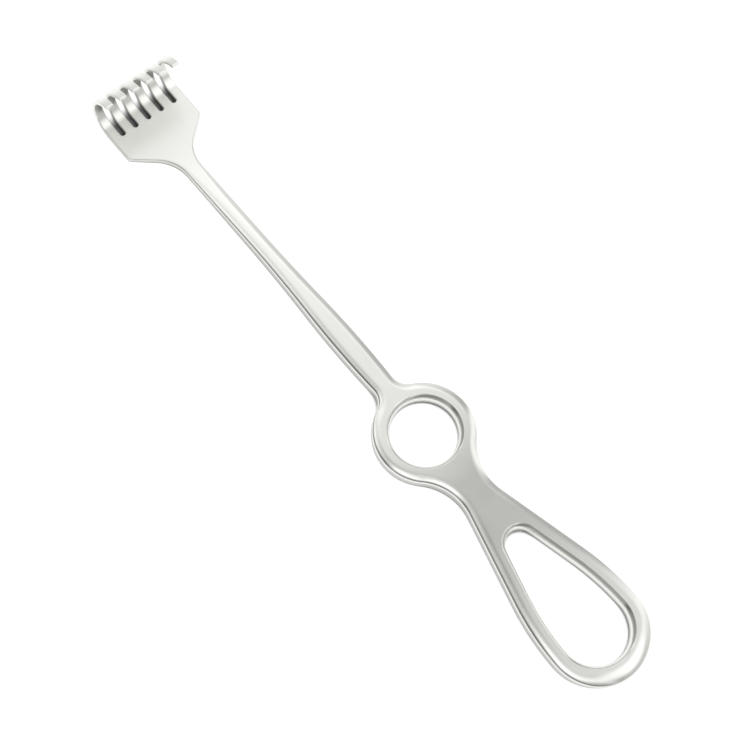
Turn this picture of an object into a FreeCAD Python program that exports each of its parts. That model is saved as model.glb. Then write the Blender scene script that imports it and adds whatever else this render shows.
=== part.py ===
import FreeCAD, Part
import math
import os

import Sketcher
from FreeCAD import Placement, Rotation, Vector

# One-piece forged steel hand retractor: a teardrop grip loop, a short bridge, a finger ring,
# a long tapering shaft and a flared head plate that ends in a rake of six blunt hooked prongs.
# It lies on its flat underside with the prongs up. The origin is the finger ring's centre,
# half-way up the handle. +X runs to the rake, +Y across it and +Z up.

# Driving sizes, in millimetres and degrees. Places along X are taken from the ring's centre.
SIZES = {
    # grip loop: a round far end, bowed sides and straight flanks that would meet inside the ring
    "loop_centre": 69.5,
    "loop_end_radius": 14.9,
    "loop_side_radius": 75.0,
    "flank_meet": 2.0,
    "loop_wall": 5.15,
    "loop_end_wall": 5.8,
    "loop_nose_radius": 4.3,
    # finger ring, and the waist of the bridge between it and the loop
    "finger_hole_radius": 9.5,
    "ring_wall": 5.1,
    "waist_radius": 15.2,
    "handle_height": 4.8,
    # shaft in plan: a swell beyond the ring, drawn in to a narrow neck
    "root_fillet": 5.0,
    "swell_x": 32.0,
    "swell_width": 7.7,
    "swell_radius": 300.0,
    "draw_in_length": 44.0,
    "neck_width": 5.4,
    # fall of the upper face from the handle to the head plate
    "fall_start_x": 40.0,
    "fall_end_gap": 1.3,
    "fall_end_radius": 60.0,
    "plate_height": 1.7,
    # head plate
    "corner_x": 117.3,
    "corner_radius": 1.2,
    "flare_angle": 50.0,
    "flare_radius": 12.0,
    "plate_length": 10.5,
    # rake: slots that leave the prongs, and the prongs' hooks
    "prong_pitch": 4.6,
    "slot_width": 1.4,
    "slot_length": 3.3,
    "bend_radius": 6.7,
    "hook_radius": 11.4,
    "hook_angle": 75.0,
    "tip_width": 2.6,
    "tip_height": 1.1,
    # rims: rounded in the two openings, cut off flat elsewhere
    "opening_round": 1.1,
    "rim_cut": 0.5,
    "tip_cut": 0.3,
}

PRONGS = 6

# A rounded or cut rim takes at most this share of its wall, so that two of them always fit.
RIM_LIMIT = 0.3

# Lengths and places that follow from the driving sizes.
RING_RADIUS = "(sizes.finger_hole_radius + sizes.ring_wall)"
FLANK_RUN = "(sizes.loop_centre - sizes.flank_meet)"
FLANK_DROP = "(sizes.loop_side_radius - sizes.loop_end_radius)"
FLANK_REACH = f"sqrt({FLANK_RUN} ^ 2 + {FLANK_DROP} ^ 2)"
FLANK_ANGLE = f"(atan2({FLANK_RUN}; {FLANK_DROP}) - acos(sizes.loop_side_radius / {FLANK_REACH}))"
LOOP_HOLE_RADIUS = "(sizes.loop_end_radius - sizes.loop_wall)"
LOOP_HOLE_CENTRE = "(sizes.loop_centre + sizes.loop_wall - sizes.loop_end_wall)"
LOOP_HOLE_BOW = "(sizes.loop_side_radius - sizes.loop_wall)"
NOSE_CENTRE = f"(sizes.flank_meet + (sizes.loop_wall + sizes.loop_nose_radius) / sin({FLANK_ANGLE}))"
SHAFT_START = "(sizes.finger_hole_radius + sizes.ring_wall / 2)"
SWELL_HALF = "(sizes.swell_width / 2)"
NECK_HALF = "(sizes.neck_width / 2)"
NECK_X = "(sizes.swell_x + sizes.draw_in_length)"
RAKE_HALF = f"(({PRONGS} * sizes.prong_pitch - sizes.slot_width) / 2)"
FLARE_X = f"(sizes.corner_x - ({RAKE_HALF} - {NECK_HALF}) / tan(sizes.flare_angle * 1 deg))"
BEND_X = "(sizes.corner_x + sizes.plate_length)"
FALL_END_X = "(sizes.corner_x - sizes.fall_end_gap)"
FALL_RUN = f"({FALL_END_X} - sizes.fall_start_x)"
FALL_DROP = "(sizes.handle_height - sizes.plate_height)"
FALL_RADIUS = f"(({FALL_RUN} ^ 2 + {FALL_DROP} ^ 2) / (2 * {FALL_DROP}) - sizes.fall_end_radius)"
SLOT_X = f"({BEND_X} - sizes.slot_length + sizes.slot_width / 2)"
SLOT_Y = f"((1 - {PRONGS} / 2) * sizes.prong_pitch)"
PRONG_Y = f"((1 - {PRONGS}) / 2 * sizes.prong_pitch)"
PRONG_WIDTH = "(sizes.prong_pitch - sizes.slot_width)"
HOOK_TURN = "(sizes.hook_angle * 1 deg)"
TIP_X = f"({BEND_X} + sizes.bend_radius - sizes.hook_radius * (1 - cos({HOOK_TURN})))"
TIP_Z = f"(sizes.bend_radius + sizes.hook_radius * sin({HOOK_TURN}))"
OPENING_ROUND = f"min(sizes.opening_round; {RIM_LIMIT} * sizes.handle_height)"
RIM_CUT = f"min(sizes.rim_cut; {RIM_LIMIT} * sizes.plate_height)"
TIP_CORNER = f"min(sizes.rim_cut; {RIM_LIMIT} * sizes.tip_height)"
TIP_CUT = f"min(sizes.tip_cut; {RIM_LIMIT} * sizes.tip_height)"

# How far cuts reach past the forging, and how near to a place an edge is looked for.
MARGIN = 5
NEAR = 1e-3

UNDER, SIDE, FRONT = "XY_Plane", "XZ_Plane", "YZ_Plane"
START, END, CENTRE = 1, 2, 3
X_AXIS = -1
ORIGIN = (X_AXIS, START)
UP = Vector(0, 0, 1)
BOTH_SIDES = (1, -1)


def make_sheet(doc):
    """The spreadsheet of driving sizes: one named cell for each."""
    sheet = doc.addObject("Spreadsheet::Sheet", "sizes")
    for row, (name, size) in enumerate(SIZES.items(), start=1):
        sheet.set(f"A{row}", name)
        sheet.set(f"B{row}", str(size))
        sheet.setAlias(f"B{row}", name)
    doc.recompute()
    return sheet


def origin_feature(body, role):
    return next(feature for feature in body.Origin.OriginFeatures if feature.Role == role)


def value(owner, expression):
    """The present number of an expression on the sheet."""
    result = owner.evalExpression(expression)
    return float(getattr(result, "Value", result))


def draw_on(body, name, plane, draw):
    """A sketch on one of the body's origin planes, drawn by a function."""
    sketch = body.newObject("Sketcher::SketchObject", name)
    sketch.AttachmentSupport = [(origin_feature(body, plane), "")]
    sketch.MapMode = "FlatFace"
    draw(sketch)
    return sketch


def tie(sketch, kind, *where):
    sketch.addConstraint(Sketcher.Constraint(kind, *where))


def bind(sketch, kind, *where_and_expression):
    """Add one dimension whose value follows the expression given last."""
    *where, expression = where_and_expression
    number = value(sketch, expression)
    if kind == "Angle":
        number = math.radians(number)
    index = sketch.addConstraint(Sketcher.Constraint(kind, *where, number))
    sketch.renameConstraint(index, f"size_{index}")
    sketch.setExpression(f"Constraints.size_{index}", expression)


def place(sketch, point, x, y=None):
    """Hold a point at x, y, or on the X axis where no y is given."""
    bind(sketch, "DistanceX", *ORIGIN, *point, x)
    if y is None:
        tie(sketch, "PointOnObject", *point, X_AXIS)
    else:
        bind(sketch, "DistanceY", *ORIGIN, *point, y)


def arc(sketch, centre, radius, first, last, side=1):
    """An arc between two bearings in degrees, or its mirror image. Returns its index and its two ends."""
    if side < 0:
        first, last = -last, -first
    circle = Part.Circle(Vector(centre[0], side * centre[1], 0), UP, radius)
    index = sketch.addGeometry(Part.ArcOfCircle(circle, math.radians(first), math.radians(last)))
    ends = ((index, START), (index, END))
    return (index, *ends[::side])


def line(sketch, first, last, side=1):
    """A line, or its mirror image. Returns its index and its two ends."""
    ends = [Vector(x, side * y, 0) for x, y in (first, last)]
    index = sketch.addGeometry(Part.LineSegment(*ends))
    return index, (index, START), (index, END)


def chain(sketch, first, corners, last):
    """Straight sides from one end to another, by way of corners that are pairs of expressions."""
    points = [sketch.getPoint(*first)]
    points += [Vector(value(sketch, x), value(sketch, y), 0) for x, y in corners]
    points += [sketch.getPoint(*last)]
    before = first
    for number, (a, b) in enumerate(zip(points, points[1:])):
        _, start, end = line(sketch, (a.x, a.y), (b.x, b.y))
        tie(sketch, "Coincident", *before, *start)
        if number < len(corners):
            place(sketch, end, *corners[number])
        before = end
    tie(sketch, "Coincident", *before, *last)


def polygon(sketch, corners):
    """A closed outline whose corners are pairs of expressions."""
    (x1, y1), (x2, y2) = ((value(sketch, x), value(sketch, y)) for x, y in corners[:2])
    _, start, end = line(sketch, (x1, y1), (x2, y2))
    place(sketch, start, *corners[0])
    place(sketch, end, *corners[1])
    chain(sketch, end, corners[2:], start)


def circle(sketch, radius):
    index = sketch.addGeometry(Part.Circle(Vector(0, 0, 0), UP, value(sketch, radius)))
    tie(sketch, "Coincident", index, CENTRE, *ORIGIN)
    bind(sketch, "Radius", index, radius)


def bearing(vector):
    return math.degrees(math.atan2(vector.y, vector.x))


def round_end(sketch, centre, radius, first, side):
    """Half of the loop's far end: an arc about a centre on the axis, which it meets at its far point."""
    index, near, far = arc(sketch, (-value(sketch, centre), 0), value(sketch, radius), first, 180, side)
    place(sketch, (index, CENTRE), f"-{centre}")
    tie(sketch, "PointOnObject", *far, X_AXIS)
    bind(sketch, "Radius", index, radius)
    return index, near


def loop_outline(sketch):
    """The grip loop's outside: round end, bowed sides and straight flanks that meet inside the ring."""
    x = -value(sketch, "sizes.loop_centre")
    bow = value(sketch, "sizes.loop_side_radius")
    bow_y = value(sketch, "sizes.loop_end_radius") - bow
    angle = value(sketch, FLANK_ANGLE)
    slope = math.radians(angle)
    flank = (x + bow * math.sin(slope), bow_y + bow * math.cos(slope))
    meet = (-value(sketch, "sizes.flank_meet"), 0)
    for side in BOTH_SIDES:
        end, end_top = round_end(sketch, "sizes.loop_centre", "sizes.loop_end_radius", 90, side)
        bowed, bow_near, bow_far = arc(sketch, (x, bow_y), bow, 90 - angle, 90, side)
        _, flank_far, flank_near = line(sketch, flank, meet, side)
        tie(sketch, "Tangent", *end_top, *bow_far)
        tie(sketch, "Tangent", *bow_near, *flank_far)
        tie(sketch, "Vertical", end, CENTRE, bowed, CENTRE)
        bind(sketch, "Radius", bowed, "sizes.loop_side_radius")
        place(sketch, flank_near, "-sizes.flank_meet")


def near_centre(foot, along, target, reach):
    """The point on the line through foot that is a given distance from the target, on its near side."""
    to_target = target - foot
    ahead = to_target.dot(along)
    aside = (to_target - along * ahead).Length
    return foot + along * (ahead - math.sqrt(reach ** 2 - aside ** 2))


def loop_hole(sketch):
    """The grip loop's hole: round end, bowed sides, straight flanks and a round nose."""
    end_radius, bow, nose, angle = (value(sketch, e) for e in (
        LOOP_HOLE_RADIUS, LOOP_HOLE_BOW, "sizes.loop_nose_radius", FLANK_ANGLE))
    slope = math.radians(angle)
    across = Vector(math.sin(slope), math.cos(slope), 0)
    along = Vector(-math.cos(slope), math.sin(slope), 0)
    end_centre = Vector(-value(sketch, LOOP_HOLE_CENTRE), 0, 0)
    nose_centre = Vector(-value(sketch, NOSE_CENTRE), 0, 0)
    centre = near_centre(nose_centre + across * (nose - bow), along, end_centre, bow - end_radius)
    turn = bearing(end_centre - centre)
    flank = centre + across * bow
    tip = nose_centre + across * nose
    for side in BOTH_SIDES:
        _, end_top = round_end(sketch, LOOP_HOLE_CENTRE, LOOP_HOLE_RADIUS, turn, side)
        bowed, bow_near, bow_far = arc(sketch, (centre.x, centre.y), bow, 90 - angle, turn, side)
        straight, flank_far, flank_near = line(sketch, (flank.x, flank.y), (tip.x, tip.y), side)
        rounded, nose_tip, nose_top = arc(sketch, (nose_centre.x, 0), nose, 0, 90 - angle, side)
        tie(sketch, "Tangent", *end_top, *bow_far)
        tie(sketch, "Tangent", *bow_near, *flank_far)
        tie(sketch, "Tangent", *flank_near, *nose_top)
        tie(sketch, "PointOnObject", *nose_tip, X_AXIS)
        place(sketch, (rounded, CENTRE), f"-{NOSE_CENTRE}")
        bind(sketch, "Radius", rounded, "sizes.loop_nose_radius")
        bind(sketch, "Radius", bowed, LOOP_HOLE_BOW)
        bind(sketch, "Angle", straight, f"{-side} * {FLANK_ANGLE}")


def ring_outline(sketch):
    circle(sketch, RING_RADIUS)


def finger_hole(sketch):
    circle(sketch, "sizes.finger_hole_radius")


def ogee(sketch, crest, foot, radius, start_x, side=1):
    """Two tangent arcs, level at the crest and at the foot, begun at start_x. Returns the two ends."""
    crest_x, crest_y, foot_x, foot_y = (value(sketch, e) for e in (*crest, *foot))
    upper = value(sketch, radius)
    drop = crest_y - foot_y
    both = ((foot_x - crest_x) ** 2 + drop ** 2) / (2 * drop)
    turn = math.degrees(math.asin((foot_x - crest_x) / both))
    lead = math.degrees(math.asin((crest_x - value(sketch, start_x)) / upper))
    high = (crest_x, crest_y - upper)
    low = (foot_x, foot_y + both - upper)
    crown, crown_end, start = arc(sketch, high, upper, 90 - turn, 90 + lead, side)
    hollow, hollow_start, end = arc(sketch, low, both - upper, 270 - turn, 270, side)
    place(sketch, (crown, CENTRE), crest[0], f"{side} * ({crest[1]} - {radius})")
    bind(sketch, "Radius", crown, radius)
    bind(sketch, "DistanceX", *ORIGIN, *start, start_x)
    tie(sketch, "Tangent", *crown_end, *hollow_start)
    place(sketch, end, foot[0], f"{side} * {foot[1]}")
    tie(sketch, "Vertical", hollow, CENTRE, *end)
    return start, end


def shaft_outline(sketch):
    """The shaft in plan: a swell just past the ring, then a neck of even width."""
    swell = ("sizes.swell_x", SWELL_HALF)
    neck = (NECK_X, NECK_HALF)
    left, right = (ogee(sketch, swell, neck, "sizes.swell_radius", SHAFT_START, side) for side in BOTH_SIDES)
    chain(sketch, left[1], [(FLARE_X, NECK_HALF), (FLARE_X, f"-{NECK_HALF}")], right[1])
    chain(sketch, right[0], [], left[0])


def head_outline(sketch):
    """The head plate in plan, before its corners are rounded."""
    near = [(FLARE_X, NECK_HALF), ("sizes.corner_x", RAKE_HALF), (BEND_X, RAKE_HALF)]
    far = [(x, f"-{y}") for x, y in reversed(near)]
    polygon(sketch, near + far)


def fall_outline(sketch):
    """What is cut away above: the upper face falls from the handle's height to the plate's."""
    crest = ("sizes.fall_start_x", "sizes.handle_height")
    foot = (FALL_END_X, "sizes.plate_height")
    start, end = ogee(sketch, crest, foot, FALL_RADIUS, crest[0])
    ahead = f"{BEND_X} + {MARGIN}"
    above = f"sizes.handle_height + {MARGIN}"
    chain(sketch, end, [(ahead, foot[1]), (ahead, above), (crest[0], above)], start)


def slot_outline(sketch):
    """The first slot between two prongs, round at its blind end and open at the front."""
    half = "sizes.slot_width / 2"
    centre = (value(sketch, SLOT_X), value(sketch, SLOT_Y))
    blind, left, right = arc(sketch, centre, value(sketch, half), 90, 270)
    place(sketch, (blind, CENTRE), SLOT_X, SLOT_Y)
    bind(sketch, "Radius", blind, half)
    tie(sketch, "Vertical", *left, blind, CENTRE)
    tie(sketch, "Vertical", *right, blind, CENTRE)
    ahead = f"{BEND_X} + {MARGIN}"
    chain(sketch, left, [(ahead, f"{SLOT_Y} + {half}"), (ahead, f"{SLOT_Y} - {half}")], right)


def prong_section(sketch, width, height, cut):
    """The first prong's section: a rectangle with its corners cut off, its outer side on the sketch's x axis."""
    steps = [(f"{width} / 2 - {cut}", "0"), (f"{width} / 2", cut)]
    steps += [(x, f"{height} - {y}") for x, y in reversed(steps)]
    right = [(f"{PRONG_Y} + {x}", y) for x, y in steps]
    left = [(f"{PRONG_Y} - ({x})", y) for x, y in reversed(steps)]
    polygon(sketch, right + left)


def prong_root(sketch):
    sketch.setExpression("AttachmentOffset.Base.z", BEND_X)
    prong_section(sketch, PRONG_WIDTH, "sizes.plate_height", RIM_CUT)


def prong_tip(sketch):
    """The section at the hook's end, square across it."""
    turn = f"-(90 deg + {HOOK_TURN})"
    sketch.AttachmentOffset = Placement(Vector(), Rotation(Vector(1, 0, 0), value(sketch, turn)))
    sketch.setExpression("AttachmentOffset.Base.y", TIP_Z)
    sketch.setExpression("AttachmentOffset.Base.z", TIP_X)
    sketch.setExpression("AttachmentOffset.Rotation.Angle", turn)
    prong_section(sketch, "sizes.tip_width", "sizes.tip_height", TIP_CORNER)


def hook_line(sketch):
    """The hook's outer side: a quarter turn up from the plate, then a wider arc back over it."""
    bend_x, bend, hook = (value(sketch, e) for e in (BEND_X, "sizes.bend_radius", "sizes.hook_radius"))
    rise, start, top = arc(sketch, (bend_x, bend), bend, -90, 0)
    over, below, end = arc(sketch, (bend_x + bend - hook, bend), hook, 0, value(sketch, "sizes.hook_angle"))
    place(sketch, start, BEND_X)
    tie(sketch, "Vertical", rise, CENTRE, *start)
    bind(sketch, "Radius", rise, "sizes.bend_radius")
    tie(sketch, "Horizontal", rise, CENTRE, *top)
    tie(sketch, "Tangent", *top, *below)
    bind(sketch, "Radius", over, "sizes.hook_radius")
    bind(sketch, "DistanceX", over, CENTRE, *end, f"sizes.hook_radius * cos({HOOK_TURN})")


def pad(body, sketch):
    feature = body.newObject("PartDesign::Pad", f"{sketch.Name}_pad")
    feature.Profile = sketch
    feature.Refine = True
    feature.setExpression("Length", "sizes.handle_height")


def cut_through(body, sketch):
    feature = body.newObject("PartDesign::Pocket", f"{sketch.Name}_cut")
    feature.Profile = sketch
    feature.Type = "ThroughAll"
    feature.Midplane = True
    feature.Refine = True
    return feature


def repeat_across(body, feature, count):
    """Copies of a feature side by side along Y, one prong pitch apart."""
    pattern = body.newObject("PartDesign::LinearPattern", f"{feature.Name}_row")
    pattern.Originals = [feature]
    pattern.Direction = (origin_feature(body, "Y_Axis"), [""])
    pattern.Occurrences = count
    pattern.Refine = feature.Refine
    pattern.setExpression("Length", f"{count - 1} * sizes.prong_pitch")
    body.Tip = pattern


def upright_edges(shape, low, high):
    """Names of the vertical edges off the axis whose x lies between two values."""
    names = []
    for index, edge in enumerate(shape.Edges, start=1):
        first, last = edge.Vertexes[0].Point, edge.Vertexes[-1].Point
        upright = math.hypot(first.x - last.x, first.y - last.y) < NEAR < abs(first.z - last.z)
        if upright and abs(first.y) > NEAR and low < first.x < high:
            names.append(f"Edge{index}")
    return names


def treat_edges(body, kind, name, edges):
    """A fillet or a chamfer on edges of the body as it stands."""
    base = body.Tip
    feature = body.newObject(f"PartDesign::{kind}", name)
    feature.Base = (base, edges)
    feature.Refine = False
    return feature


def round_edges(body, name, edges, radius):
    treat_edges(body, "Fillet", name, edges).setExpression("Radius", radius)
    body.Document.recompute()


def cut_edges(body, name, edges, size):
    treat_edges(body, "Chamfer", name, edges).setExpression("Size", size)
    body.Document.recompute()


# The outlines that the flat blank is padded from.
OUTLINES = {"loop": loop_outline, "shaft": shaft_outline, "head": head_outline, "ring": ring_outline}

# The blends between them: the stretch of X where their corners lie, and each one's radius.
BLENDS = {
    "waist": (f"-{RING_RADIUS}", "0", "sizes.waist_radius"),
    "root": ("0", RING_RADIUS, "sizes.root_fillet"),
    "flare": (f"{FLARE_X} - 1", f"{FLARE_X} + 1", "sizes.flare_radius"),
    "corners": ("sizes.corner_x - 1", "sizes.corner_x + 1", "sizes.corner_radius"),
}


def flat_blank(body):
    """Loop, ring, shaft and head as one flat forging, cut to its outline with sharp rims."""
    for name, draw in OUTLINES.items():
        pad(body, draw_on(body, name, UNDER, draw))
    body.Document.recompute()
    for name, (low, high, radius) in BLENDS.items():
        edges = upright_edges(body.Shape, value(body, low), value(body, high))
        round_edges(body, name, edges, radius)
    cut_through(body, draw_on(body, "fall", SIDE, fall_outline))
    for name, draw in (("loop_hole", loop_hole), ("finger_hole", finger_hole)):
        cut_through(body, draw_on(body, name, UNDER, draw))
    slot = cut_through(body, draw_on(body, "slot", UNDER, slot_outline))
    repeat_across(body, slot, PRONGS - 1)
    body.Document.recompute()


def rim_edges(shape, front_x):
    """Names of the edges round the two openings' rims, and of the outer rims' apart from the front end."""
    level = []
    for face in shape.Faces:
        normal = face.normalAt(*face.Surface.parameter(face.CenterOfMass))
        if abs(normal.z) > abs(normal.x) + abs(normal.y):
            level.append(face)
    openings, outer = [], []
    for index, edge in enumerate(shape.Edges, start=1):
        owners = [face for face in level if any(edge.isSame(other) for other in face.Edges)]
        front = all(abs(vertex.X - front_x) < NEAR for vertex in edge.Vertexes)
        if len(owners) == 1 and not front:
            around = any(edge.isSame(other) for other in owners[0].OuterWire.Edges)
            (outer if around else openings).append(f"Edge{index}")
    return openings, outer


def soften_rims(body):
    """Round the rims that fingers bear on, and cut off the outer ones and the slots'."""
    openings, _ = rim_edges(body.Shape, value(body, BEND_X))
    round_edges(body, "opening_rims", openings, OPENING_ROUND)
    _, outer = rim_edges(body.Shape, value(body, BEND_X))
    cut_edges(body, "outer_rims", outer, RIM_CUT)


def hooked_prong(body):
    """The first prong: it turns up from the plate and hooks back over it, thinning to a blunt tip."""
    root = draw_on(body, "prong_root", FRONT, prong_root)
    tip = draw_on(body, "prong_tip", FRONT, prong_tip)
    spine = draw_on(body, "hook_line", SIDE, hook_line)
    body.Document.recompute()
    prong = body.newObject("PartDesign::AdditivePipe", "prong")
    prong.Profile = root
    prong.Spine = spine
    prong.Transformation = "Multisection"
    prong.Sections = [tip]
    prong.Refine = False
    return prong


def tip_edges(shape, sheet):
    """Names of the edges round the prongs' blunt ends."""
    turn = math.radians(sheet.hook_angle)
    end = Vector(value(sheet, TIP_X), 0, value(sheet, TIP_Z))
    facing = Vector(-math.sin(turn), 0, math.cos(turn))
    names = []
    for index, edge in enumerate(shape.Edges, start=1):
        points = [vertex.Point for vertex in edge.Vertexes]
        if all(abs((point - end).dot(facing)) < NEAR and point.z > sheet.bend_radius for point in points):
            names.append(f"Edge{index}")
    return names


def rake_retractor(doc, sheet):
    """The whole forging: the blank with its rims softened and its row of hooked prongs."""
    body = doc.addObject("PartDesign::Body", "retractor")
    body.Label = "rake_retractor"
    flat_blank(body)
    soften_rims(body)
    repeat_across(body, hooked_prong(body), PRONGS)
    doc.recompute()
    cut_edges(body, "tips", tip_edges(body.Shape, sheet), TIP_CUT)
    body.setExpression("Placement.Base.z", "-sizes.handle_height / 2")
    doc.recompute()
    return body


def main():
    doc = FreeCAD.newDocument("rake_retractor")
    body = rake_retractor(doc, make_sheet(doc))
    failed = [thing.Name for thing in doc.Objects if {"Invalid", "Error"} & set(thing.State)]
    if failed:
        raise RuntimeError(f"these failed to build: {failed}")
    shape = body.Shape
    if shape.isNull() or not shape.isValid() or len(shape.Solids) != 1:
        raise RuntimeError(f"{body.Label} is not one valid solid")
    os.makedirs("parts", exist_ok=True)
    shape.exportStep(f"parts/{body.Label}.step")


main()
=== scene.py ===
import bmesh
import bpy
import numpy as np
from mathutils import Matrix, Vector
from mathutils.geometry import tessellate_polygon


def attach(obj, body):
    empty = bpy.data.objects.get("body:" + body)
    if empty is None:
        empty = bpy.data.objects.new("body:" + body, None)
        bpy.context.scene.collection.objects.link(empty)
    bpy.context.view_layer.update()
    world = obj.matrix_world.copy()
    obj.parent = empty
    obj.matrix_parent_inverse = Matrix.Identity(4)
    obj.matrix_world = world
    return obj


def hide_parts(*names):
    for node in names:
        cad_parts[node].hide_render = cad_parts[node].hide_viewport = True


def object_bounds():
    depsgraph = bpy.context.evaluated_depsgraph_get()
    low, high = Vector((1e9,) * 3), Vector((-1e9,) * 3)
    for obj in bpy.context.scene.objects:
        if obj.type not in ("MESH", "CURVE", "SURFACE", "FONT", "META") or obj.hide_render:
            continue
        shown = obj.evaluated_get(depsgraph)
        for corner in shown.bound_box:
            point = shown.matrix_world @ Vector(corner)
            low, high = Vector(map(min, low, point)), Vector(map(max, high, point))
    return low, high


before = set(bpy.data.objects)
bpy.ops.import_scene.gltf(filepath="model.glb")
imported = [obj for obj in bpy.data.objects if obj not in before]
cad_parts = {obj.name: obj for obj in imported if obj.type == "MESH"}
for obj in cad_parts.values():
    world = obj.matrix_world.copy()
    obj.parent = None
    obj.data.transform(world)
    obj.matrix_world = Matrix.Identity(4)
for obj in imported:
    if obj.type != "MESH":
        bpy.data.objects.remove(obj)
cad_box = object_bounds()

# A one-piece steel hand retractor lying on its flat underside, rake upwards. The shape is worked
# out in millimetres from the finger ring's centre at mid-thickness, with X towards the rake.
MM = 0.001

# Plan of the grip loop: its far end, its bowed sides, where its straight flanks would meet, its hole.
LOOP_CENTRE, LOOP_END_RADIUS, LOOP_SIDE_RADIUS, FLANK_MEET = 69.5, 14.9, 75.0, 2.0
LOOP_WALL, LOOP_END_WALL, NOSE_RADIUS = 5.15, 5.8, 4.3

# Plan of the finger ring and the bridge's waist.
HOLE_RADIUS, RING_WALL, WAIST_RADIUS = 9.5, 5.1, 15.2
RING_RADIUS = HOLE_RADIUS + RING_WALL

# Plan of the shaft: its root at the ring, its swell and its neck.
ROOT_RADIUS, SWELL_X, SWELL_HALF, SWELL_RADIUS = 5.0, 32.0, 3.85, 300.0
NECK_X, NECK_HALF = 76.0, 2.7

# Plan of the head: the plate's corners and flares, the slots, and the line where the prongs bend up.
CORNER_X, CORNER_RADIUS, FLARE_ANGLE, FLARE_RADIUS, PLATE_LENGTH = 117.3, 1.2, 50.0, 12.0, 10.5
PRONGS, PITCH, SLOT_WIDTH, SLOT_LENGTH = 6, 4.6, 1.4, 3.3
RAKE_HALF = (PRONGS * PITCH - SLOT_WIDTH) / 2
BEND_X = CORNER_X + PLATE_LENGTH

# Heights above the mid-plane, and the fall of the upper face along the shaft.
UNDER, HANDLE_TOP, PLATE_TOP = -2.4, 2.4, -0.7
FALL_START, FALL_END, FALL_FOOT_RADIUS = 40.0, 116.0, 60.0

# Hooks: the two arcs of their outer side, their section at the root and the tip, its corners at the
# tip, the rounding of the tip's end and how many degrees of it there are, and the least corner.
BEND_RADIUS, HOOK_RADIUS, HOOK_ANGLE = 6.7, 11.4, 75.0
ROOT_SIZE, TIP_SIZE = (PITCH - SLOT_WIDTH, PLATE_TOP - UNDER), (2.6, 1.1)
TIP_CORNER, TIP_ROUND, TIP_TURN, LEAST_CORNER = 0.40, 0.45, 80.0, 0.03

# Rounding of the rims: an arc from the side up to a shoulder, which turns the last degrees on a radius
# of its own, so that the two together reach a given way in from the side. The outer rims end in a wide
# soft shoulder, and the openings' full rounding in a tight one that leaves a crease round their tops.
HANDLE_ROUND, LOOP_END_ROUND, PLATE_ROUND = 1.1, 1.2, 0.45
HANDLE_REACH, LOOP_END_REACH = 2.6, 4.3
HOLE_ROUND, HOLE_REACH = 2.7, 1.33
SOFT_TURN, LOOP_END_TURN, CREASE_TURN = 20.0, 40.0, 32.0

# Where the handle's rounding gives way to the loop end's, back along X and in how far the rim faces
# backwards, and where it starts to give way to the plate's.
LOOP_END_SPAN, BACKWARDS = (LOOP_CENTRE - 10.0, LOOP_CENTRE + LOOP_END_RADIUS - 2.0), (0.3, 1.0)
NECK_START = 85.0

# Points along a rim: their spacing in millimetres, and an arc's widest step in degrees and fewest steps.
STEP, WIDEST_STEP, FEWEST_STEPS = 0.5, 6.0, 4

# Steps across a rounding, up to its shoulder and over it, and along a hook.
QUARTER, SHOULDER, HOOK_STEPS = 7, 4, 75

# Points nearer than this, in metres, are one point.
SEAM = 1e-6

# The picture is 750 pixels wide, taken with a field of view of 30 degrees. The sensor and the camera's
# place are in millimetres, and the span of depths that it sees in metres.
IMAGE_SIZE, FOCAL_PIXELS, SENSOR = 750, 1400, 36
CAMERA_PLACE = (-63.315, 110.533, 362.365)
CAMERA_RIGHT = (-0.63917, -0.76442, 0.08437)
CAMERA_UP = (0.73740, -0.57800, 0.34952)
CAMERA_BACK = (-0.21842, 0.28561, 0.93312)
CAMERA_SPAN = (0.01, 20)

# The steel: its tint and roughness between two ends of faint patches, how much duller the rake is, the
# patches and the grain, with so many features a metre, and the grain's relief, in metres.
STEEL_DARK, STEEL_LIGHT = (0.745, 0.75, 0.71, 1), (0.80, 0.803, 0.775, 1)
ROUGHNESS, RAKE_DULLNESS = (0.18, 0.26), 0.12
PATCHES, GRAIN = {"Scale": 90.0, "Detail": 3.0}, {"Scale": 2600.0, "Detail": 2.0}
RELIEF = {"Strength": 0.12, "Distance": 0.00004}

# The floor: its width in metres, its colour, the white that it shows, and how much the painted shade under
# the rake, a fixed darker patch of floor, takes from both.
FLOOR_WIDTH, FLOOR_COLOUR, FLOOR_GLOW, RAKE_SHADE = 4.0, 0.45, 0.85, 0.86

# The reach in metres within which steel dims the floor's white with painted shade, the rays that look for
# it, and the shares of open sky between which the white comes up: to the eye from nothing, and in the steel
# from a quarter.
SKY_REACH, SKY_RAYS = 0.006, 32
SEEN_SKY, MIRRORED_SKY, MIRRORED_LEAST = (0.36, 0.48), (0.35, 1.0), 0.25

# Where the painted shade under the rake fades: to the sides, towards the hooks and towards the shaft.
SHADE_SIDE = (RAKE_HALF - 2.0, RAKE_HALF - 0.5)
SHADE_FRONT = (BEND_X + 1.0, BEND_X + BEND_RADIUS - 1.0)
SHADE_REAR = (CORNER_X - 1.0, CORNER_X + 1.0)

# Brightness of the light tent against the angle in degrees from the zenith, from the side of -Y to
# the side of +Y, and what it is multiplied by from the loop's way to the rake's. A ramp holds each as
# shares of a level that it stays under.
TENT = [(-90, 1.0), (-50, 1.03), (-30, 0.96), (-17, 0.74), (-6, 0.64), (3, 0.68), (12, 1.4), (19, 1.65),
        (27, 0.8), (40, 0.42), (65, 0.34), (90, 0.42)]
ALONG = [(-1.0, 0.60), (-0.75, 0.70), (-0.3, 0.92), (-0.05, 1.34), (0.03, 1.20), (0.10, 0.34), (0.20, 0.46),
         (0.45, 0.92), (0.65, 0.94), (1.0, 0.94)]
TENT_LIMIT, ALONG_LIMIT = 2.0, 1.4

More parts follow.
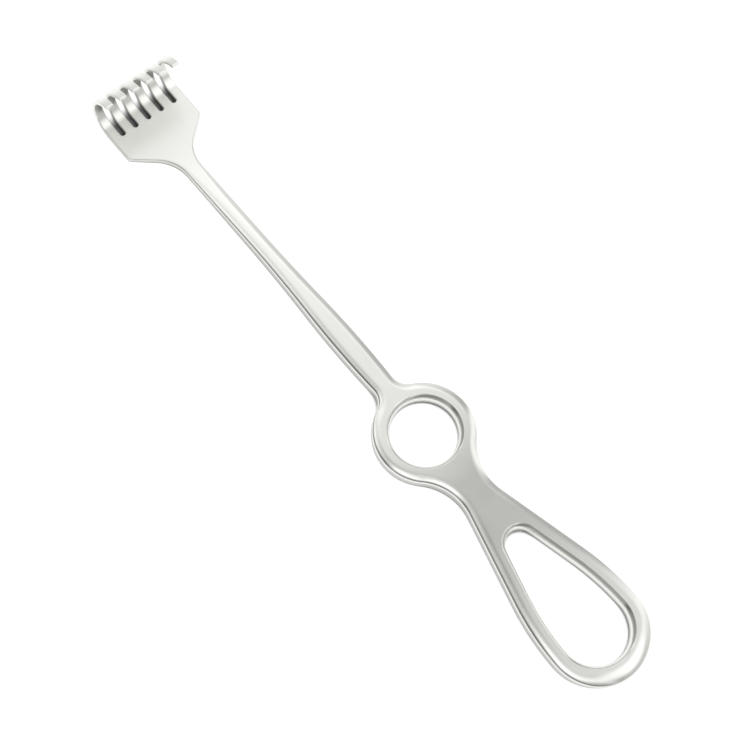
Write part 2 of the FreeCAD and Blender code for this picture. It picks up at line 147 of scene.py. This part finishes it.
# A soft box beyond the loop's end: the way to it, its edge and middle as cosines, and its brightness.
BOX_WAY, BOX_EDGE, BOX_MIDDLE, BOX_LEVEL = (-0.60, -0.28, 0.75), 0.87, 0.97, 0.76

# The lamp that hangs over the shaft and the rake: place and size in metres, and power in watts.
LAMP_PLACE, LAMP_SIZE, LAMP_POWER = (0.185, -0.085, 0.25), (0.32, 0.20), 0.124


def unit(angle):
    """The directions at bearings in degrees: (cos a, sin a) along a last axis."""
    turn = np.radians(angle)
    return np.stack([np.cos(turn), np.sin(turn)], axis=-1)


def bearing(vector):
    """The angle of a direction, in degrees."""
    return np.degrees(np.arctan2(vector[1], vector[0]))


def vectors(x, y, z):
    """Vectors from their three parts, each part spread to the shape of all."""
    return np.stack(np.broadcast_arrays(x, y, z), axis=-1)


def arc(centre, radius, first, last):
    """A stretch of rim: centre + radius * (cos a, sin a), a going from one bearing to another."""
    turn = abs(last - first)
    count = int(np.ceil(max(FEWEST_STEPS, radius * np.radians(turn) / STEP, turn / WIDEST_STEP)))
    angles = np.linspace(first, last, count + 1)
    outwards = unit(angles) * (1 if last > first else -1)
    return np.asarray(centre) + radius * unit(angles), outwards


def run(first, last):
    """A straight stretch of rim: first + t * (last - first), t going from 0 to 1."""
    first, last = np.asarray(first, float), np.asarray(last, float)
    length = np.linalg.norm(last - first)
    count = max(1, int(np.ceil(length / STEP)))
    share = np.linspace(0, 1, count + 1)[:, None]
    x, y = (last - first) / length
    return first + share * (last - first), np.tile([y, -x], (count + 1, 1))


def joined(stretches):
    """Stretches end to end, without the points that two of them share."""
    places = np.concatenate([stretches[0][0]] + [places[1:] for places, _ in stretches[1:]])
    outwards = np.concatenate([stretches[0][1]] + [outwards[1:] for _, outwards in stretches[1:]])
    return places, outwards


def both_sides(half):
    """A rim from one side of the axis, carried on as its mirror image, followed the other way."""
    places, outwards = half
    flip = np.array([1, -1])
    return joined([half, (places[::-1] * flip, outwards[::-1] * flip)])


def meeting(centre_a, reach_a, centre_b, reach_b):
    """Where two circles about a and b cross, on the left of the way from a to b."""
    a, b = np.asarray(centre_a, float), np.asarray(centre_b, float)
    apart = np.linalg.norm(b - a)
    ahead = (apart ** 2 + reach_a ** 2 - reach_b ** 2) / (2 * apart)
    aside = np.sqrt(reach_a ** 2 - ahead ** 2)
    along = (b - a) / apart
    return a + along * ahead + aside * np.array([-along[1], along[0]])


def flank_angle():
    """The angle between the grip loop's straight flank and the axis: the line from where the flanks
    would meet that touches the side's circle."""
    length, drop = LOOP_CENTRE - FLANK_MEET, LOOP_SIDE_RADIUS - LOOP_END_RADIUS
    return np.degrees(np.arctan2(length, drop) - np.arccos(LOOP_SIDE_RADIUS / np.hypot(length, drop)))


# The flank's directions, and the centres of the swell's arc and of the blend at the shaft's root.
FLANK = flank_angle()
FLANK_OUT = unit(90 - FLANK)
FLANK_ALONG = np.array([-FLANK_OUT[1], FLANK_OUT[0]])
CROWN = np.array([SWELL_X, SWELL_HALF - SWELL_RADIUS])
ROOT = meeting((0, 0), RING_RADIUS + ROOT_RADIUS, CROWN, SWELL_RADIUS + ROOT_RADIUS)


def head_side():
    """Back along the plate's side, round its corner, down the straight flare and round to the shaft."""
    flare = unit(180 + FLARE_ANGLE)
    flare_out = np.array([flare[1], -flare[0]])
    plate_corner = np.array([CORNER_X, RAKE_HALF])
    corner = plate_corner + [CORNER_RADIUS * np.tan(np.radians(FLARE_ANGLE / 2)), -CORNER_RADIUS]
    blend_y = NECK_HALF + FLARE_RADIUS
    to_line = FLARE_RADIUS + (plate_corner - [0, blend_y]) @ flare_out
    blend = np.array([to_line / flare_out[0], blend_y])
    return joined([
        run((BEND_X, RAKE_HALF), (corner[0], RAKE_HALF)),
        arc(corner, CORNER_RADIUS, 90, bearing(flare_out)),
        run(corner + CORNER_RADIUS * flare_out, blend - FLARE_RADIUS * flare_out),
        arc(blend, FLARE_RADIUS, bearing(-flare_out) % 360, 270),
        run((blend[0], NECK_HALF), (NECK_X, NECK_HALF)),
    ])


def shaft_side():
    """From the neck to the finger ring: a hollow arc, the swell's crown and the blend at the root."""
    length, gain = NECK_X - SWELL_X, SWELL_HALF - NECK_HALF
    both = (length ** 2 + gain ** 2) / (2 * gain)
    turn = np.degrees(np.arcsin(length / both))
    hollow = (NECK_X, NECK_HALF + both - SWELL_RADIUS)
    return joined([
        arc(hollow, both - SWELL_RADIUS, 270, 270 - turn),
        arc(CROWN, SWELL_RADIUS, 90 - turn, bearing(ROOT - CROWN)),
        arc(ROOT, ROOT_RADIUS, bearing(CROWN - ROOT) % 360, bearing(-ROOT) % 360),
    ])


def handle_side():
    """Round the finger ring, in at the waist, out along the flank and round the grip loop's end."""
    foot = -FLANK_MEET * FLANK_OUT[0]
    away = np.sqrt((RING_RADIUS + WAIST_RADIUS) ** 2 - (foot + WAIST_RADIUS) ** 2)
    waist = FLANK_OUT * (foot + WAIST_RADIUS) + FLANK_ALONG * away
    bow = np.array([-LOOP_CENTRE, LOOP_END_RADIUS - LOOP_SIDE_RADIUS])
    return joined([
        arc((0, 0), RING_RADIUS, bearing(ROOT), bearing(waist)),
        arc(waist, WAIST_RADIUS, bearing(-waist) % 360, bearing(-FLANK_OUT) % 360),
        run(waist - WAIST_RADIUS * FLANK_OUT, bow + LOOP_SIDE_RADIUS * FLANK_OUT),
        arc(bow, LOOP_SIDE_RADIUS, 90 - FLANK, 90),
        arc((-LOOP_CENTRE, 0), LOOP_END_RADIUS, 90, 180),
    ])


def half_loop_hole():
    """One side of the grip loop's hole, from its nose on the axis to its far point: tangent arcs and
    a line that keep the loop's wall along its flank and side."""
    nose = -(FLANK_MEET + (LOOP_WALL + NOSE_RADIUS) / np.sin(np.radians(FLANK)))
    end = -(LOOP_CENTRE + LOOP_WALL - LOOP_END_WALL)
    radius, bow = LOOP_END_RADIUS - LOOP_WALL, LOOP_SIDE_RADIUS - LOOP_WALL
    foot = np.array([nose, 0]) + FLANK_OUT * (NOSE_RADIUS - bow)
    ahead = (np.array([end, 0]) - foot) @ FLANK_ALONG
    aside = np.linalg.norm(np.array([end, 0]) - foot - FLANK_ALONG * ahead)
    centre = foot + FLANK_ALONG * (ahead - np.sqrt((bow - radius) ** 2 - aside ** 2))
    turn = bearing(np.array([end, 0]) - centre)
    return joined([
        arc((nose, 0), NOSE_RADIUS, 0, 90 - FLANK),
        run(np.array([nose, 0]) + NOSE_RADIUS * FLANK_OUT, centre + bow * FLANK_OUT),
        arc(centre, bow, 90 - FLANK, turn),
        arc((end, 0), radius, turn, 180),
    ])


def hole_rim(half):
    """A hole's rim as a ring whose last point leads back to its first, followed so that the steel lies
    on the left and its side faces into the hole."""
    places, outwards = both_sides(half)
    return places[-2::-1], -outwards[-2::-1]


def slot_rim(number):
    """The sides and blind end of a slot, from the front and back to it."""
    y = (number + 1 - PRONGS / 2) * PITCH
    half = SLOT_WIDTH / 2
    blind = BEND_X - SLOT_LENGTH + half
    return joined([
        run((BEND_X, y - half), (blind, y - half)),
        arc((blind, y), half, 270, 90),
        run((blind, y + half), (BEND_X, y + half)),
    ])


def smooth_share(value, first, last):
    """0 before first, 1 after last, and 3 s^2 - 2 s^3 between."""
    share = np.clip((value - first) / (last - first), 0, 1)
    return share * share * (3 - 2 * share)


def top_height(x):
    """The upper face: level, then two tangent arcs down to the plate. Returns the height and the slope."""
    width, drop = FALL_END - FALL_START, HANDLE_TOP - PLATE_TOP
    both = (width ** 2 + drop ** 2) / (2 * drop)
    crown = both - FALL_FOOT_RADIUS
    change = FALL_START + crown * width / both
    over = np.clip(x - FALL_START, 0, change - FALL_START)
    back = np.clip(FALL_END - x, 0, FALL_END - change)
    height = np.where(x < change, HANDLE_TOP - crown + np.sqrt(crown ** 2 - over ** 2),
                      PLATE_TOP + FALL_FOOT_RADIUS - np.sqrt(FALL_FOOT_RADIUS ** 2 - back ** 2))
    slope = np.where(x < change, -over / np.sqrt(crown ** 2 - over ** 2),
                     -back / np.sqrt(FALL_FOOT_RADIUS ** 2 - back ** 2))
    return height, slope


def outer_rounding(x, outward):
    """The outer rim's radius, reach and shoulder: wide and soft on the loop's far end, small on the
    plate, where the radius shrinks evenly along the fall and the reach smoothly from the neck on."""
    far = smooth_share(-x, *LOOP_END_SPAN) * smooth_share(-outward, *BACKWARDS)
    handle = HANDLE_ROUND + (LOOP_END_ROUND - HANDLE_ROUND) * far
    fallen = np.clip((x - FALL_START) / (FALL_END - FALL_START), 0, 1)
    radius = handle + (PLATE_ROUND - HANDLE_ROUND) * fallen
    reach = HANDLE_REACH + (LOOP_END_REACH - HANDLE_REACH) * far
    reach = reach + (PLATE_ROUND - HANDLE_REACH) * smooth_share(x, NECK_START, FALL_END)
    return radius, np.maximum(reach, radius), SOFT_TURN + (LOOP_END_TURN - SOFT_TURN) * far


def even_rounding(radius, reach, shoulder):
    """A rounding that is the same all along a rim."""
    return lambda x, _: (radius + 0 * x, reach + 0 * x, shoulder + 0 * x)


class Surface:
    """Points, faces and the way each point faces, gathered piece by piece."""

    def __init__(self):
        self.places, self.facings, self.quads, self.others, self.count = [], [], [], [], 0

    def add_points(self, places, facings):
        """Points and the ways they face, made one long. Returns the index of the first."""
        first = self.count
        places, facings = places.reshape(-1, 3), facings.reshape(-1, 3)
        self.places.append(places)
        self.facings.append(facings / np.linalg.norm(facings, axis=1, keepdims=True))
        self.count += len(places)
        return first

    def add_grid(self, places, facings, shut=False, shut_across=False):
        """A grid of points, rows along and columns across, joined by quads. Returns each point's index."""
        rows, columns = places.shape[:2]
        index = self.add_points(places, facings) + np.arange(rows * columns).reshape(rows, columns)
        wide = np.concatenate([index, index[:, :1]], axis=1) if shut_across else index
        long = np.concatenate([wide, wide[:1]], axis=0) if shut else wide
        corners = [long[:-1, :-1], long[1:, :-1], long[1:, 1:], long[:-1, 1:]]
        self.quads.append(np.stack([corner.ravel() for corner in corners], axis=1))
        return index

    def mesh(self, name):
        """The gathered surface with its seams closed and each point shaded the way it faces."""
        data = bpy.data.meshes.new(name)
        faces = np.concatenate(self.quads).tolist() + self.others
        data.from_pydata(np.concatenate(self.places) * MM, [], faces)
        facing = data.attributes.new("facing", "FLOAT_VECTOR", "POINT")
        facing.data.foreach_set("vector", np.concatenate(self.facings).ravel())
        closed = bmesh.new()
        closed.from_mesh(data)
        bmesh.ops.remove_doubles(closed, verts=closed.verts, dist=SEAM)
        closed.to_mesh(data)
        closed.free()
        facings = np.zeros(3 * len(data.vertices))
        data.attributes["facing"].data.foreach_get("vector", facings)
        data.attributes.remove(data.attributes["facing"])
        data.shade_smooth()
        data.normals_split_custom_set_from_vertices(facings.reshape(-1, 3))
        return data


def quarter_turn(shoulder=SOFT_TURN):
    """Bearings across a rounding, from the side up to level: even steps, then the shoulder's own."""
    first, then = np.linspace(0, 1, QUARTER + 1), np.linspace(0, 1, SHOULDER + 1)[1:]
    return np.concatenate([(90 - shoulder) * first, 90 - shoulder * (1 - then)], axis=-1)


def add_rim(surface, rim, rounding, shut):
    """The rounded side of the forging along a rim. Across it, the offset and the height follow an arc
    of the rim's radius, then the shoulder's, which takes over its last degrees and ends level."""
    places, outwards = rim
    radius, reach, shoulder = rounding(places[:, :1], outwards[:, :1])
    turn = np.radians(quarter_turn(shoulder))
    change = np.radians(90 - shoulder)
    wide = radius + (reach - radius) / np.cos(change)
    below = turn <= change + SEAM
    offset = np.where(below, radius * (np.cos(turn) - 1),
                      radius * (np.cos(change) - 1) + wide * (np.cos(turn) - np.cos(change)))
    depth = np.where(below, radius * (np.sin(change) - np.sin(turn)) + wide * (1 - np.sin(change)),
                     wide * (1 - np.sin(turn)))
    offset = np.concatenate([offset[:, ::-1], offset], axis=1)
    x = places[:, :1] + outwards[:, :1] * offset
    y = places[:, 1:] + outwards[:, 1:] * offset
    height, slope = top_height(x)
    columns = turn.shape[1]
    z = np.concatenate([UNDER + depth[:, ::-1], height[:, columns:] - depth], axis=1)
    across = np.concatenate([np.cos(turn[:, ::-1]), np.cos(turn)], axis=1)
    upward = np.concatenate([-np.sin(turn[:, ::-1]), np.sin(turn)], axis=1)
    tilt = -slope * np.clip(upward, 0, 1)
    facing = vectors(outwards[:, :1] * across + tilt, outwards[:, 1:] * across, upward)
    return surface.add_grid(vectors(x, y, z), facing, shut=shut)


def add_cap(surface, borders, side):
    """A level face between borders, each an array of point indices, in triangles that are all wound
    alike, whichever way their summed area has them face; side is 1 above and -1 below."""
    places = np.concatenate(surface.places)
    level = places * [1, 1, 0]
    corners = np.concatenate(borders)[np.array(tessellate_polygon([level[border] for border in borders]))]
    (x1, y1, _), (x2, y2, _), (x3, y3, _) = places[corners].transpose(1, 2, 0)
    area = ((x2 - x1) * (y3 - y1) - (x3 - x1) * (y2 - y1)).sum()
    surface.others += (corners if area * side > 0 else corners[:, ::-1]).tolist()


def prong_section(width, height, radius, depth):
    """Points round a rectangle with rounded corners: their places across the hook, their depths from its
    outer side, and which way each faces."""
    turn = quarter_turn()
    facing = unit(np.concatenate([-turn[::-1], turn, 180 - turn[::-1], 180 + turn]))[::-1]
    signs = np.repeat([[-1, -1], [-1, 1], [1, 1], [1, -1]], len(turn), axis=0)
    across = signs[:, 0] * (width / 2 - radius) + radius * facing[:, 0]
    deep = signs[:, 1] * (height / 2 - radius) + radius * facing[:, 1] + (height / 2 + depth)
    return across, deep, facing


def prong_stations():
    """Along the hook, as columns: place of its outer side in x and z, the way inwards in x and z, how far
    the tip's rounding has turned, and the share of the length gone."""
    first, second = np.radians(90) * BEND_RADIUS, np.radians(HOOK_ANGLE) * HOOK_RADIUS
    length = first + second
    plain = np.linspace(0, length - TIP_ROUND, HOOK_STEPS + 1)
    turn = np.radians(np.linspace(0, TIP_TURN, QUARTER)[1:])
    reach = np.concatenate([plain, length - TIP_ROUND * (1 - np.sin(turn))])
    lower = reach < first
    angle = np.where(lower, np.degrees(reach / BEND_RADIUS) - 90,
                     np.degrees((reach - first) / HOOK_RADIUS))
    radius = np.where(lower, BEND_RADIUS, HOOK_RADIUS)
    centre = np.where(lower, BEND_X, BEND_X + BEND_RADIUS - HOOK_RADIUS)
    outward_x, outward_z = unit(angle).T
    x = centre + radius * outward_x
    z = UNDER + BEND_RADIUS + radius * outward_z
    turned = np.concatenate([0 * plain, turn])
    return np.stack([x, z, -outward_x, -outward_z, turned, reach / length])[:, :, None]


def add_prong(surface, y):
    """A hook: a round-cornered section carried along two tangent arcs, thinning evenly to a rounded tip."""
    x, z, inward_x, inward_z, turn, share = prong_stations()
    width, height = (root + (tip - root) * share for root, tip in zip(ROOT_SIZE, TIP_SIZE))
    shrink = TIP_ROUND * (1 - np.cos(turn))
    radius = np.maximum(PLATE_ROUND + (TIP_CORNER - PLATE_ROUND) * share - shrink, LEAST_CORNER)
    across, deep, facing = prong_section(width - 2 * shrink, height - 2 * shrink, radius, shrink)
    lean = np.cos(turn) * facing[:, 1]
    facings = vectors(inward_x * lean + inward_z * np.sin(turn), np.cos(turn) * facing[:, 0],
                      inward_z * lean - inward_x * np.sin(turn))
    places = vectors(x + inward_x * deep, y + across, z + inward_z * deep)
    index = surface.add_grid(places, facings, shut_across=True)
    surface.others.append(index[-1, ::-1].tolist())


def forging_mesh():
    """The whole forging as one closed surface: rounded rims, level faces between them, and the hooks.
    Where the upper face falls, straight lines across it join the two outer rims."""
    surface = Surface()
    half = joined([head_side(), shaft_side(), handle_side()])
    outer = add_rim(surface, both_sides(half), outer_rounding, shut=False)
    full = even_rounding(HOLE_ROUND, HOLE_REACH, CREASE_TURN)
    holes = [add_rim(surface, hole_rim(half), full, shut=True)
             for half in (half_loop_hole(), arc((0, 0), HOLE_RADIUS, 0, 180))]
    crisp = even_rounding(PLATE_ROUND, PLATE_ROUND, SOFT_TURN)
    slots = [add_rim(surface, slot_rim(number), crisp, shut=False) for number in range(PRONGS - 1)]
    border = np.concatenate([outer[:, 0]] + [slot[:, 0] for slot in slots])
    add_cap(surface, [border] + [hole[:, 0] for hole in holes], -1)
    above, beyond = outer[:, -1], outer[::-1, -1]
    x = np.concatenate(surface.places)[above[:len(above) // 2], 0]
    plate, handle = np.searchsorted(-x, [-FALL_END, -FALL_START])
    border = np.concatenate([above[:plate + 1], beyond[plate::-1]] + [slot[:, -1] for slot in slots])
    add_cap(surface, [border], 1)
    add_cap(surface, [above[handle:len(above) - handle]] + [hole[:, -1] for hole in holes], 1)
    here, ahead = slice(plate, handle), slice(plate + 1, handle + 1)
    surface.quads.append(np.stack([above[here], above[ahead], beyond[ahead], beyond[here]], axis=1))
    for number in range(PRONGS):
        add_prong(surface, (number - (PRONGS - 1) / 2) * PITCH)
    return surface.mesh("forging")


def link(thing):
    """The same object, put into the scene."""
    bpy.context.scene.collection.objects.link(thing)
    return thing


def new_tree(owner):
    """An empty node tree for a material or a world."""
    owner.use_nodes = True
    owner.node_tree.nodes.clear()
    return owner.node_tree


def node(tree, kind, inputs=None, **settings):
    """A new node with its settings, and its sockets by name or number: each takes a value or is linked
    to another node's socket."""
    made = tree.nodes.new(kind)
    for name, setting in settings.items():
        setattr(made, name, setting)
    for socket, given in (inputs or {}).items():
        if isinstance(given, bpy.types.NodeSocket):
            tree.links.new(given, made.inputs[socket])
        else:
            made.inputs[socket].default_value = given
    return made


def math_node(tree, operation, first, second=0):
    """One operation on one or two values."""
    return node(tree, "ShaderNodeMath", {0: first, 1: second}, operation=operation).outputs[0]


def ranged(tree, value, start, end, low, high, kind="SMOOTHSTEP"):
    """A value that goes from low at start to high at end."""
    limits = {"Value": value, "From Min": start, "From Max": end, "To Min": low, "To Max": high}
    return node(tree, "ShaderNodeMapRange", limits, interpolation_type=kind).outputs["Result"]


def brightness_ramp(tree, value, stops, limit):
    """A brightness against a value: straight between the stops, each a place and a level."""
    start, end = stops[0][0], stops[-1][0]
    ramp = node(tree, "ShaderNodeValToRGB", {"Fac": ranged(tree, value, start, end, 0, 1, "LINEAR")})
    # New stops come in at the middle, and all of them then get their own places.
    while len(ramp.color_ramp.elements) < len(stops):
        ramp.color_ramp.elements.new(0.5)
    for element, (at, level) in zip(ramp.color_ramp.elements, stops):
        element.position = (at - start) / (end - start)
        element.color = (level / limit,) * 3 + (1,)
    return math_node(tree, "MULTIPLY", ramp.outputs["Color"], limit)


def satin_steel():
    """Satin steel: a fine grain, faint patches of tint and gloss, and a duller finish towards the rake."""
    material = bpy.data.materials.new("satin_steel")
    tree = new_tree(material)
    place = node(tree, "ShaderNodeTexCoord").outputs["Object"]
    along = node(tree, "ShaderNodeSeparateXYZ", {0: place}).outputs[0]
    patches = node(tree, "ShaderNodeTexNoise", {"Vector": place, **PATCHES}).outputs["Fac"]
    duller = ranged(tree, along, NECK_START * MM, CORNER_X * MM, 0, RAKE_DULLNESS)
    rough = math_node(tree, "ADD", ranged(tree, patches, 0, 1, *ROUGHNESS, "LINEAR"), duller)
    tints = {"Factor": patches, "A": STEEL_DARK, "B": STEEL_LIGHT}
    tint = node(tree, "ShaderNodeMix", tints, data_type="RGBA").outputs[2]
    grain = node(tree, "ShaderNodeTexNoise", {"Vector": place, **GRAIN}).outputs["Fac"]
    bump = node(tree, "ShaderNodeBump", {"Height": grain, **RELIEF}).outputs["Normal"]
    surface = {"Metallic": 1.0, "Base Color": tint, "Roughness": rough, "Normal": bump}
    shader = node(tree, "ShaderNodeBsdfPrincipled", surface)
    node(tree, "ShaderNodeOutputMaterial", {"Surface": shader.outputs["BSDF"]})
    return material


def add_forging():
    """The visible forging, in place of the model's plainer one."""
    piece = link(bpy.data.objects.new("forging", forging_mesh()))
    piece.data.materials.append(satin_steel())
    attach(piece, "root")
    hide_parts("rake_retractor")


def add_camera():
    """The camera stands where the picture was taken from."""
    data = bpy.data.cameras.new("camera")
    data.sensor_fit = "HORIZONTAL"
    data.sensor_width = SENSOR
    data.lens = SENSOR * FOCAL_PIXELS / IMAGE_SIZE
    data.clip_start, data.clip_end = CAMERA_SPAN
    camera = link(bpy.data.objects.new("camera", data))
    turn = Matrix((CAMERA_RIGHT, CAMERA_UP, CAMERA_BACK)).transposed().to_4x4()
    camera.matrix_world = Matrix.Translation(Vector(CAMERA_PLACE) * MM) @ turn
    bpy.context.scene.camera = camera


def rake_shade(tree):
    """Painted shade: RAKE_SHADE on the floor well under the rake, and 0 from just inside its outline
    outwards.
    """
    place = node(tree, "ShaderNodeTexCoord").outputs["Object"]
    x, y, _ = node(tree, "ShaderNodeSeparateXYZ", {0: place}).outputs
    aside = math_node(tree, "ABSOLUTE", y)
    sides = ranged(tree, aside, SHADE_SIDE[0] * MM, SHADE_SIDE[1] * MM, RAKE_SHADE, 0)
    front = ranged(tree, x, SHADE_FRONT[0] * MM, SHADE_FRONT[1] * MM, 1, 0)
    rear = ranged(tree, x, SHADE_REAR[0] * MM, SHADE_REAR[1] * MM, 0, 1)
    return math_node(tree, "MULTIPLY", math_node(tree, "MULTIPLY", sides, front), rear)


def floor_material():
    """White with painted shade in narrow places and under the rake, over a matt floor that takes real
    shadows.
    What the steel mirrors of it is greyer towards the forging, in painted shade, as paper is in the
    forging's own shade."""
    material = bpy.data.materials.new("pale_floor")
    tree = new_tree(material)
    # Painted shade under the rake: a fixed patch that dims the floor's colour and its white alike.
    lit = math_node(tree, "SUBTRACT", 1, rake_shade(tree))
    matt = node(tree, "ShaderNodeBsdfDiffuse", {"Color": math_node(tree, "MULTIPLY", lit, FLOOR_COLOUR)})
    sky = node(tree, "ShaderNodeAmbientOcclusion", {"Distance": SKY_REACH}, samples=SKY_RAYS).outputs["AO"]
    path = node(tree, "ShaderNodeLightPath").outputs
    # The white fades with the share of open sky near the steel: painted shade in narrow places.
    seen = math_node(tree, "MULTIPLY", path["Is Camera Ray"], ranged(tree, sky, *SEEN_SKY, 0, FLOOR_GLOW))
    steel = math_node(tree, "MAXIMUM", path["Is Glossy Ray"], path["Is Transmission Ray"])
    mirrored = math_node(tree, "MULTIPLY", steel,
                         ranged(tree, sky, *MIRRORED_SKY, MIRRORED_LEAST * FLOOR_GLOW, FLOOR_GLOW))
    level = math_node(tree, "MULTIPLY", math_node(tree, "ADD", seen, mirrored), lit)
    glow = node(tree, "ShaderNodeEmission", {"Color": (1, 1, 1, 1), "Strength": level})
    both = node(tree, "ShaderNodeAddShader", {0: matt.outputs[0], 1: glow.outputs[0]})
    node(tree, "ShaderNodeOutputMaterial", {"Surface": both.outputs[0]})
    return material


def add_floor(height):
    """One wide level square."""
    half = FLOOR_WIDTH / 2
    data = bpy.data.meshes.new("floor")
    corners = [(-half, -half, height), (half, -half, height), (half, half, height), (-half, half, height)]
    data.from_pydata(corners, [], [(0, 1, 2, 3)])
    data.materials.append(floor_material())
    link(bpy.data.objects.new("floor", data))


def add_tent():
    """A light tent whose brightness goes with the angle from the zenith across the forging, and along
    it, with a soft box beyond the loop's end. The camera sees plain white."""
    world = bpy.data.worlds.new("studio")
    bpy.context.scene.world = world
    tree = new_tree(world)
    place = node(tree, "ShaderNodeTexCoord").outputs["Generated"]
    x, y, z = node(tree, "ShaderNodeSeparateXYZ", {0: place}).outputs
    angle = math_node(tree, "MULTIPLY", math_node(tree, "ARCTAN2", y, z), 180 / np.pi)
    across = brightness_ramp(tree, angle, TENT, TENT_LIMIT)
    along = brightness_ramp(tree, x, ALONG, ALONG_LIMIT)
    near = node(tree, "ShaderNodeVectorMath", {0: place, 1: BOX_WAY}, operation="DOT_PRODUCT")
    box = ranged(tree, near.outputs["Value"], BOX_EDGE, BOX_MIDDLE, 0, BOX_LEVEL)
    level = math_node(tree, "ADD", math_node(tree, "MULTIPLY", across, along), box)
    tent = node(tree, "ShaderNodeBackground", {"Color": (1, 1, 1, 1), "Strength": level})
    white = node(tree, "ShaderNodeBackground", {"Color": (1, 1, 1, 1)})
    seen = node(tree, "ShaderNodeLightPath").outputs["Is Camera Ray"]
    mix = node(tree, "ShaderNodeMixShader", {0: seen, 1: tent.outputs[0], 2: white.outputs[0]})
    node(tree, "ShaderNodeOutputWorld", {"Surface": mix.outputs[0]})


def add_lamp():
    """A wide soft lamp that faces straight down."""
    data = bpy.data.lights.new("overhead", "AREA")
    data.shape = "RECTANGLE"
    data.size, data.size_y = LAMP_SIZE
    data.energy = LAMP_POWER
    link(bpy.data.objects.new("overhead", data)).location = LAMP_PLACE


add_camera()
add_forging()
add_floor(cad_box[0][2])
add_tent()
add_lamp()
bpy.context.scene.view_settings.view_transform = "Standard"
